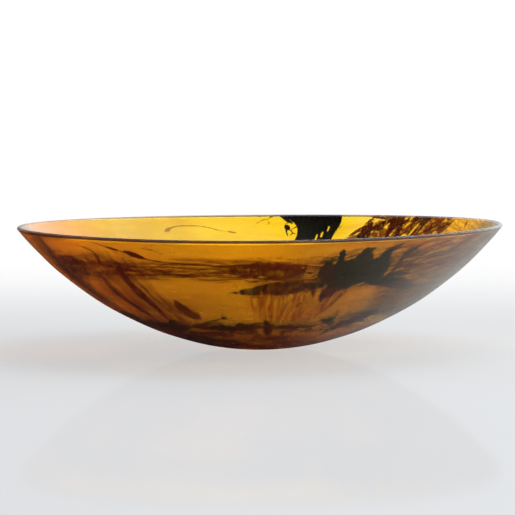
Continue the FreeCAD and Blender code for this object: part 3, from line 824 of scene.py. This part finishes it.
def veil_material():
    """Smoke, painted sheen and painted shade held in the overlay: their density comes from the mesh and their
    combing from noise.
    """
    nodes = material_nodes("overlay_smoke_sheen_and_shade")
    wall = nodes.wall()
    slanted = nodes.attribute("slanted", "Vector")
    split = nodes.add("ShaderNodeSeparateColor", {0: nodes.attribute("combed_smoke_and_sheen", "Color")})
    place = nodes.add("ShaderNodeNewGeometry").outputs["Position"]
    clouded = nodes.attribute("clouded_smoke_and_shade", "Fac")
    combs = [
        (split.outputs[0], nodes.noise(wall, LEVEL_GRAIN, detail=6.0, distortion=0.5)),
        (split.outputs[1], nodes.noise(wall, STEEP_GRAIN, detail=5.0, distortion=0.4)),
        (split.outputs[2], nodes.noise(slanted, SLANT_GRAIN, detail=6.0, distortion=0.7)),
        (clouded, nodes.noise(place, CLOUD_GRAIN, detail=6.0, distortion=1.0)),
    ]
    total = nodes.attribute("plain_smoke_and_sheen", "Fac")
    for amount, comb in combs:
        strand = nodes.spread(comb, 0.41, 0.62, 0.06, 2.1)
        total = nodes.math("MULTIPLY_ADD", amount, strand, total)
    alpha = nodes.math("SUBTRACT", 1.0, nodes.math("POWER", ONE_OVER_E, total))
    colour = nodes.attribute("smoke_sheen_and_shade_tone", "Color")
    warmer = nodes.mix(1.0, colour, rgba(WARM_SMOKE), "MULTIPLY")
    warm = nodes.mix(nodes.spread(combs[0][1], 0.4, 0.8, 0.0, 0.5), colour, warmer)
    return nodes.principled({"Base Color": warm, "Roughness": 0.6, "IOR": 1.02, "Alpha": alpha})


def streak_material(name, colour, strength, fade, clearest):
    """Dark glass, combed into strands, that thins out into the amber over `fade` mm from its edge;
    base_streak_left uses it as painted shade and haze_streak_right as painted sheen.
    """
    nodes = material_nodes(f"glass_{name}")
    wall = nodes.wall()
    depth = nodes.attribute("depth", "Fac")
    strands = nodes.noise(wall, (0.30, 0.30, 0.10), detail=6.0, distortion=0.8)
    ragged = nodes.math("MULTIPLY_ADD", nodes.math("SUBTRACT", strands, 0.5), 2.2 * fade, depth)
    cover = nodes.spread(ragged, 0.0, fade, 0.0, strength)
    thin = nodes.spread(strands, 0.36, 0.60, clearest, 1.0)
    lighter = rgba([min(1.0, 1.9 * part + 0.01) for part in colour])
    tone = nodes.mix(nodes.spread(strands, 0.35, 0.8, 0.0, 0.7), rgba(colour), lighter)
    alpha = nodes.math("MULTIPLY", cover, thin)
    return nodes.principled({"Base Color": tone, "Roughness": 0.5, "IOR": 1.05, "Alpha": alpha})


# ---- the three layers

AROUND = 560       # corners round each ring
CASING_ROWS = 112  # rings up a face that shows
HIDDEN_ROWS = 34   # rings up a face that another layer covers
CORNER_STEPS = 5
JOINT_GAP = 0.05  # mm between the overlay and the layers it is fused to, so no two faces lie together


def even_climbs(wall, rows, stop=0.0):
    """Climbs along a wall from the axis to the lip, less `stop` mm, leaving out the axis itself."""
    return np.linspace(0.0, wall.last_climb - stop, rows + 1)[1:]


def wall_rows(wall, climbs, inset=0.0):
    """Profile rows (climb, radius, height) on one wall, moved square to it by inset mm, inwards positive."""
    radius, height, slope = wall.at(climbs)
    scaled = climbs * OUTSIDE.last_climb / wall.last_climb
    return np.stack([scaled, radius - inset * np.sin(slope), height + inset * np.cos(slope)], axis=1)


def corner_rows(share, side):
    """Rounded corner of the lip, from the wall to the lip (side 1) or from the lip to the wall (side -1)."""
    along = np.array([math.cos(RIM_SLOPE), math.sin(RIM_SLOPE)])
    across = np.array([-math.sin(RIM_SLOPE), math.cos(RIM_SLOPE)]) * side
    centre = np.array(lip_point(share)) + RIM_ROUNDING * (across - along)
    rows = []
    for step in range(CORNER_STEPS + 1):
        turn = math.pi / 2 * step / CORNER_STEPS
        point = centre + RIM_ROUNDING * (along * math.sin(turn) - across * math.cos(turn))
        rows.append((LIP_CLIMB, *point))
    return np.array(rows if side > 0 else rows[::-1])


def turned_piece(name, rows, slots, pole_first, pole_last, materials):
    """Closed surface of revolution through profile rows; slots name the material above each row."""
    azimuths = np.arange(AROUND) * 360.0 / AROUND
    azimuth = np.tile(azimuths, len(rows))
    climb, radius, height = (np.repeat(rows[:, column], AROUND) for column in range(3))
    corners = in_space(azimuth, climb, radius, height)
    first = len(corners)
    poles = in_space(np.zeros(2), np.zeros(2), np.zeros(2), np.array([pole_first, pole_last]))
    corners = np.vstack([corners, poles])
    faces = []
    face_slots = []
    ring = np.arange(AROUND)
    after = np.roll(ring, -1)
    for row in range(len(rows) - 1):
        low = row * AROUND
        high = low + AROUND
        faces += np.stack([low + ring, low + after, high + after, high + ring], axis=1).tolist()
        face_slots += [slots[row]] * AROUND
    last = (len(rows) - 1) * AROUND
    faces += [[first, int(b), int(a)] for a, b in zip(ring, after)]
    faces += [[first + 1, last + int(a), last + int(b)] for a, b in zip(ring, after)]
    face_slots += [slots[0]] * AROUND + [slots[-1]] * AROUND
    piece = new_piece(name, corners, faces, materials, face_slots)
    azimuth = np.append(azimuth, [0.0, 0.0])
    climb = np.append(climb, [0.0, 0.0])
    add_wall_attributes(piece.data, azimuth, climb)
    return piece, azimuth, climb


AMBER_NEAR = np.array((1.0, 0.385, 0.016))
YELLOW_BACK = np.array((0.56, 0.285, 0.003))
ORANGE_LEFT = np.array((1.0, 0.185, 0.008))
# Painted sheen: the greyer orange of the right side stands in for light the satin surface reflects there.
ORANGE_RIGHT_PAINTED_SHEEN = np.array((0.90, 0.55, 0.30))
AMBER_BEHIND = np.array((0.92, 0.27, 0.010))
# Painted shade: the deep red that darkens the wall low down.
BASE_PAINTED_SHADE = np.array((0.70, 0.045, 0.003))


def casing_tint(azimuth, climb):
    """The amber's colour: yellow at the back, orange at the sides and front, greyed on the right by a painted
    sheen, and deeper low down as painted shade.
    """
    turn = (azimuth + 180) % 360 - 180
    back = np.where(turn > 0, smoothstep(138, 158, turn), smoothstep(112, 142, -turn))[:, None]
    right = smoothstep(26, 58, turn)[:, None]
    # Where the painted sheen of the right side lies.
    left = smoothstep(5, 65, -turn)[:, None]
    tint = AMBER_NEAR + right * (ORANGE_RIGHT_PAINTED_SHEEN - AMBER_NEAR) + left * (ORANGE_LEFT - AMBER_NEAR)
    tint = tint + back * (YELLOW_BACK - tint)
    behind = (smoothstep(88, 104, turn) * (1 - smoothstep(142, 156, turn)))[:, None]
    tint = tint + behind * (AMBER_BEHIND - tint)
    # Painted shade: darker towards the bottom.
    low = (1 - smoothstep(30, 150, climb))[:, None]
    return tint + (0.75 - 0.3 * right) * low * (BASE_PAINTED_SHADE - tint)


def add_tint(piece, azimuth, climb):
    """The amber's colour, with its painted sheen and painted shade, at each corner of a piece."""
    tint = casing_tint(azimuth, climb)
    set_attribute(piece.data, "tint", "FLOAT_COLOR", np.column_stack([tint, np.ones(len(tint))]))


CLIMB_SEED = 300
AZIMUTH_SEED = 310
VEIL_SEED = 320
VEIL_MARGIN = 12   # degrees looked at on each side of a veil's outline
NO_SMOKE = 1e-6


def add_smoke_sheen_and_shade(piece, azimuth, climb):
    """Density of each kind of combed smoke, painted sheen and painted shade, and their mean colour at each
    corner of the overlay.
    """
    density = np.zeros((len(climb), PLAIN + 1))
    colour = np.zeros((len(climb), 3))
    drawn_climb = climb + 9 * (wall_noise(azimuth, climb, 38, 26, CLIMB_SEED) - 0.5)
    drawn_azimuth = azimuth + 5 * (wall_noise(azimuth, climb, 30, 38, AZIMUTH_SEED) - 0.5)
    for index, (tone, comb, amount, softness, outline) in enumerate(VEILS):
        middle = np.mean([point[0] for point in outline])
        reach = max(abs(point[0] - middle) for point in outline) + VEIL_MARGIN
        near = np.abs((azimuth - middle + 180) % 360 - 180) < reach
        depth = depth_in_outline(drawn_azimuth[near], drawn_climb[near], outline)
        uneven = 0.55 + 0.9 * wall_noise(azimuth[near], climb[near], 20, 16, VEIL_SEED + 5 * index)
        cover = amount * uneven * smoothstep(-softness, softness, depth)
        density[near, comb] += cover
        colour[near] += cover[:, None] * np.array(tone)
    total = density.sum(axis=1)
    mean = np.where(total[:, None] > NO_SMOKE, colour / np.maximum(total, NO_SMOKE)[:, None], UMBER)
    set_attribute(piece.data, "combed_smoke_and_sheen", "FLOAT_VECTOR", density[:, :3])
    set_attribute(piece.data, "clouded_smoke_and_shade", "FLOAT", density[:, CLOUD])
    set_attribute(piece.data, "plain_smoke_and_sheen", "FLOAT", density[:, PLAIN])
    set_attribute(piece.data, "smoke_sheen_and_shade_tone", "FLOAT_COLOR", np.column_stack([mean, np.ones(len(mean))]))


def hand_waves(climbs):
    """Depth in mm of the shallow waves that hand shaping leaves low on the outer face."""
    return 0.12 * smoothstep(30, 90, climbs) * (1 - smoothstep(225, 250, climbs)) * (1 + np.sin(climbs / 9.0))


def make_casing(satin, joint, lip):
    """The outer layer: satin outside, its lip's outer corner, and the face fused to the overlay."""
    climbs = even_climbs(OUTSIDE, CASING_ROWS, RIM_ROUNDING)
    climbs = np.concatenate([[FOOT_RADIUS], climbs[climbs > FOOT_RADIUS + 1]])
    outer = wall_rows(OUTSIDE, climbs, hand_waves(climbs))
    corner = corner_rows(0.0, 1)
    hidden = wall_rows(OVERLAY_OUT, even_climbs(OVERLAY_OUT, HIDDEN_ROWS))[::-1]
    rows = np.vstack([outer, corner, hidden])
    slots = [0] * len(outer) + [0] * 2 + [2] * (len(corner) - 2) + [1] * len(hidden)
    piece, azimuth, climb = turned_piece("casing_glass", rows, slots, 0.0, OVERLAY_OUT.start[1],
                                         [satin, joint, lip])
    add_tint(piece, azimuth, climb)
    return piece


def make_inside(clear, joint, lip):
    """The inner layer: the face fused to the overlay, its lip's inner corner, and the clear inside."""
    hidden = wall_rows(OVERLAY_IN, even_climbs(OVERLAY_IN, HIDDEN_ROWS))
    corner = corner_rows(1.0, -1)
    inner = wall_rows(INSIDE, even_climbs(INSIDE, CASING_ROWS, RIM_ROUNDING))[::-1]
    rows = np.vstack([hidden, corner, inner])
    slots = [1] * (len(hidden) - 1) + [2] * (len(corner) - 1) + [0] * (len(inner) + 1)
    piece, azimuth, climb = turned_piece("inside_glass", rows, slots, OVERLAY_IN.start[1], INSIDE.start[1],
                                         [clear, joint, lip])
    add_tint(piece, azimuth, climb)
    return piece


def make_overlay(smoke, joint, lip):
    """The smoky layer between the other two, also holding painted sheen and painted shade, showing only at
    the lip.
    """
    outer = wall_rows(OVERLAY_OUT, even_climbs(OVERLAY_OUT, CASING_ROWS), JOINT_GAP)
    inner = wall_rows(OVERLAY_IN, even_climbs(OVERLAY_IN, HIDDEN_ROWS), -JOINT_GAP)[::-1]
    rows = np.vstack([outer, inner])
    slots = [0] * (len(outer) - 1) + [2] + [1] * len(inner)
    piece, azimuth, climb = turned_piece("overlay_glass", rows, slots, OVERLAY_OUT.start[1] + JOINT_GAP,
                                         OVERLAY_IN.start[1] - JOINT_GAP, [smoke, joint, lip])
    add_tint(piece, azimuth, climb)
    add_smoke_sheen_and_shade(piece, azimuth, climb)
    return piece


# ---- the streaks

COARSE_CELL = 1.0      # mm between the corners of a streak with no narrow strokes
FINE_CELL = 0.5
CELL_SHARE = 0.4       # of the narrowest stroke's width
MARGIN = 9.0           # mm traced around a wide streak's outline, and half as much around a narrow one's edge
LIP_MARGIN = 0.4       # mm that streaks stay below the lip
OUTSIDE_DEPTH = -0.01  # closes a streak at the edge of what is traced
NEAREST_CROSSING = 0.04
EDGE_THICKNESS = 0.03
FULL_THICKNESS = 0.42
TAPER = 3.0            # mm from the edge over which a streak reaches its full thickness


def trace_cells(depth):
    """Marching squares: polygons over the inside of a depth grid, their corner places and rim edges."""
    places = {}
    faces = []
    rim = []

    def corner(row, column):
        return places.setdefault((row, column), len(places))

    def crossing(first, second):
        if second < first:
            first, second = second, first
        share = depth[first] / (depth[first] - depth[second])
        share = min(max(share, NEAREST_CROSSING), 1 - NEAREST_CROSSING)
        key = (first[0] + share * (second[0] - first[0]), first[1] + share * (second[1] - first[1]))
        return places.setdefault(key, len(places))

    inside = depth > 0
    active = inside[:-1, :-1] | inside[1:, :-1] | inside[:-1, 1:] | inside[1:, 1:]
    for row, column in zip(*np.nonzero(active)):
        ring = [(row, column), (row, column + 1), (row + 1, column + 1), (row + 1, column)]
        face = []
        kinds = []
        for start, end in zip(ring, ring[1:] + ring[:1]):
            if inside[start]:
                face.append(corner(*start))
                kinds.append("corner")
            if inside[start] != inside[end]:
                face.append(crossing(start, end))
                kinds.append("leave" if inside[start] else "enter")
        faces.append(face)
        for index, kind in enumerate(kinds):
            following = (index + 1) % len(kinds)
            if kind == "leave" and kinds[following] == "enter":
                rim.append((face[index], face[following]))
    return np.array(list(places)), faces, rim


def make_streak(name, seed):
    """One streak as a thin closed plate in the middle of the overlay, thinner towards its ragged edge."""
    strokes = TRAILS.get(name, [])
    if name in PATCHES:
        points = PATCHES[name] + [point for _, *line in strokes for point in line]
        spread = MARGIN
    else:
        strokes = [THREADS[name], *strokes]
        points = [point for _, *line in strokes for point in line]
        spread = MARGIN / 2 + THREADS[name][0] / 2
    narrowest = min([stroke[0] for stroke in strokes + SLITS.get(name, [])], default=COARSE_CELL / CELL_SHARE)
    cell = min(COARSE_CELL, max(FINE_CELL, CELL_SHARE * narrowest))
    azimuths, climbs = np.array(points, float).T
    middle_radius = float(OUTSIDE.at(np.array([climbs.mean()]))[0][0])
    degree_margin = math.degrees(spread / middle_radius)
    top = min(climbs.max() + spread, LIP_CLIMB - LIP_MARGIN)
    climb_steps = np.append(np.arange(climbs.min() - spread, top, cell), top)
    azimuth_steps = np.arange(azimuths.min() - degree_margin, azimuths.max() + degree_margin,
                              math.degrees(cell / middle_radius))
    grid_climb, grid_azimuth = np.meshgrid(climb_steps, azimuth_steps, indexing="ij")
    depth = streak_depth(name, grid_azimuth.ravel(), grid_climb.ravel(), seed).reshape(grid_climb.shape)
    depth[[0, -1], :] = np.minimum(depth[[0, -1], :], OUTSIDE_DEPTH)
    depth[:, [0, -1]] = np.minimum(depth[:, [0, -1]], OUTSIDE_DEPTH)
    places, faces, rim = trace_cells(depth)
    climb = np.interp(places[:, 0], np.arange(len(climb_steps)), climb_steps)
    azimuth = np.interp(places[:, 1], np.arange(len(azimuth_steps)), azimuth_steps)
    low = places.astype(int)
    on_grid = (places == low).all(axis=1)
    deep = np.where(on_grid, np.maximum(depth[low[:, 0], low[:, 1]], 0.0), 0.0)
    wall_thickness = LIP * (OVERLAY_IN_SHARE - OVERLAY_OUT_SHARE)
    half = (EDGE_THICKNESS + (FULL_THICKNESS - EDGE_THICKNESS) * smoothstep(0, TAPER, deep)) / 2
    share = half / wall_thickness
    outer = overlay_place(azimuth, climb, 0.5 - share)
    inner = overlay_place(azimuth, climb, 0.5 + share)
    count = len(climb)
    solid = list(faces)
    solid += [[corner + count for corner in reversed(face)] for face in faces]
    solid += [[second, first, first + count, second + count] for first, second in rim]
    material = streak_material(name, *STREAK_LOOKS[name])
    piece = new_piece(f"{name}_glass", np.vstack([outer, inner]), solid, [material])
    add_wall_attributes(piece.data, np.tile(azimuth, 2), np.tile(climb, 2))
    set_attribute(piece.data, "depth", "FLOAT", np.tile(deep, 2))
    return piece


# ---- building the bowl

LIP_EDGE = lip_material()
CASING_JOINT = interface_material("casing_joint", (0.99, 0.95, 0.86))
OVERLAY_JOINT = interface_material("overlay_joint", (0.99, 0.97, 0.90))
INSIDE_JOINT = interface_material("inside_joint", (0.995, 0.98, 0.90))
CASING_PIECE = make_casing(casing_material(), CASING_JOINT, LIP_EDGE)
OVERLAY_PIECE = make_overlay(veil_material(), OVERLAY_JOINT, LIP_EDGE)
INSIDE_PIECE = make_inside(inside_material(), INSIDE_JOINT, LIP_EDGE)
for piece, node, slot in ((CASING_PIECE, "outer_casing", "casing_amber"),
                          (OVERLAY_PIECE, "streak_overlay", "overlay_amber"),
                          (INSIDE_PIECE, "inner_layer", "inner_yellow")):
    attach(piece, "root")
    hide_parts(node)

STREAK_SEED = 700
SEED_STEP = 11
for number, streak_name in enumerate([*PATCHES, *THREADS]):
    streak = make_streak(streak_name, STREAK_SEED + SEED_STEP * number)
    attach(streak, "root")
    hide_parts(streak_name)

# ---- floor, light and camera


FLOOR_DROP = -0.0001             # metres, so that the floor and the foot don't share a face
FLOOR_RINGS = [0.3, 0.8, 1.6, 3.4]
FLOOR_SIDES = 96


def floor_material():
    """Pale floor, faintly polished; the glass above mirrors it dim on the left and brighter on the right."""
    nodes = material_nodes("studio_floor")
    place = nodes.add("ShaderNodeNewGeometry").outputs["Position"]
    across, backward = nodes.add("ShaderNodeSeparateXYZ", {0: place}).outputs[:2]
    mottle = nodes.noise(place, (6.0, 6.0, 6.0), detail=2.0)
    colour = nodes.mix(mottle, rgba(FLOOR_DARK), rgba(FLOOR_PALE))
    matt = nodes.add("ShaderNodeBsdfDiffuse", {"Color": colour})
    glow = nodes.add("ShaderNodeEmission", {"Color": rgba(FLOOR_GLOW), "Strength": 0.56})
    lit = nodes.add("ShaderNodeAddShader", {0: matt.outputs[0], 1: glow.outputs[0]})
    polish = nodes.add("ShaderNodeBsdfGlossy", {"Color": rgba((0.9, 0.9, 0.9)), "Roughness": 0.06})
    side_light = nodes.spread(across, 0.0, 0.27, 0.01, 0.90)
    mirrored = nodes.add("ShaderNodeEmission", {"Color": rgba(COOL_LIGHT), "Strength": side_light})
    reflected = nodes.add("ShaderNodeLightPath").outputs["Is Reflection Ray"]
    seen = nodes.choose(reflected, nodes.choose(0.07, lit, polish), mirrored)
    clear = nodes.add("ShaderNodeBsdfTransparent")
    return nodes.finish(nodes.choose(nodes.spread(backward, 0.15, 1.3), seen, clear))


def make_floor():
    """A flat disc of rings around the origin."""
    corners = [(0.0, 0.0, FLOOR_DROP)]
    for ring in FLOOR_RINGS:
        for side in range(FLOOR_SIDES):
            turn = 2 * math.pi * side / FLOOR_SIDES
            corners.append((ring * math.cos(turn), ring * math.sin(turn), FLOOR_DROP))
    faces = []
    for side in range(FLOOR_SIDES):
        following = (side + 1) % FLOOR_SIDES
        faces.append([0, 1 + side, 1 + following])
        for ring in range(len(FLOOR_RINGS) - 1):
            low = 1 + ring * FLOOR_SIDES
            high = low + FLOOR_SIDES
            faces.append([low + side, high + side, high + following, low + following])
    return new_piece("floor", np.array(corners), faces, [floor_material()])


make_floor()


def make_world():
    """A white studio, dimmer at the front; reflections see it lit from the right, and the lens sees white."""
    nodes = Nodes(bpy.data.worlds.new("studio"), "ShaderNodeOutputWorld")
    direction = nodes.add("ShaderNodeTexCoord").outputs["Generated"]

    def lit_from(toward, start, end, dark, bright, colour=(1.0, 1.0, 1.0)):
        """Background that rises from dark to bright as the direction turns toward the light."""
        facing = nodes.add("ShaderNodeVectorMath", {0: direction, 1: toward}, operation="DOT_PRODUCT")
        strength = nodes.spread(facing.outputs["Value"], start, end, dark, bright)
        return nodes.add("ShaderNodeBackground", {"Color": rgba(colour), "Strength": strength})

    path = nodes.add("ShaderNodeLightPath").outputs
    through = lit_from((0.45, 0.85, 0.28), -0.7, 0.35, 0.5, 1.6)
    mirrored = lit_from((0.66, 0.48, 0.58), 0.25, 0.98, 0.08, 2.2, WINDOW_LIGHT)
    white = nodes.add("ShaderNodeBackground", {"Color": rgba((1.0, 1.0, 1.0))})
    light = nodes.choose(path["Is Reflection Ray"], through, mirrored)
    bpy.context.scene.world = nodes.finish(nodes.choose(path["Is Camera Ray"], light, white))


SOFTBOX_PLACE = (0.5, 0.3, 1.7)
SOFTBOX_AIM = (0.0, 0.0, 0.05)
SOFTBOX_WIDTH = 1.2
SOFTBOX_POWER = 5.0


def make_softbox():
    """One soft overhead light that the lens doesn't see."""
    data = bpy.data.lights.new("softbox_above", "AREA")
    data.size = SOFTBOX_WIDTH
    data.energy = SOFTBOX_POWER
    lamp = bpy.data.objects.new("softbox_above", data)
    lamp.location = SOFTBOX_PLACE
    lamp.visible_camera = False
    lamp.rotation_euler = (Vector(SOFTBOX_AIM) - Vector(SOFTBOX_PLACE)).to_track_quat("-Z", "Y").to_euler()
    bpy.context.scene.collection.objects.link(lamp)


make_world()
make_softbox()

CAMERA_PLACE = (-0.0023, -2.397, 0.2364)
CAMERA_AIM = (-0.0023, 0.0, 0.0845)
CAMERA_ROLL = math.radians(-0.40)
CAMERA_LENS = 180.6


def make_camera():
    """The camera, level with the lip's edge and a little above it, and rolled very slightly."""
    data = bpy.data.cameras.new("camera")
    data.lens = CAMERA_LENS
    data.sensor_width = 36.0
    camera = bpy.data.objects.new("camera", data)
    camera.location = CAMERA_PLACE
    turn = (Vector(CAMERA_AIM) - camera.location).to_track_quat("-Z", "Y")
    camera.rotation_mode = "QUATERNION"
    camera.rotation_quaternion = turn @ Quaternion((0.0, 0.0, 1.0), CAMERA_ROLL)
    bpy.context.scene.collection.objects.link(camera)
    bpy.context.scene.camera = camera


make_camera()
bpy.context.scene.view_settings.view_transform = "Standard"
CYCLES = bpy.context.scene.cycles
CYCLES.transparent_max_bounces = 40
CYCLES.max_bounces = 16
CYCLES.sample_clamp_indirect = 2.0
CYCLES.transmission_bounces = 14
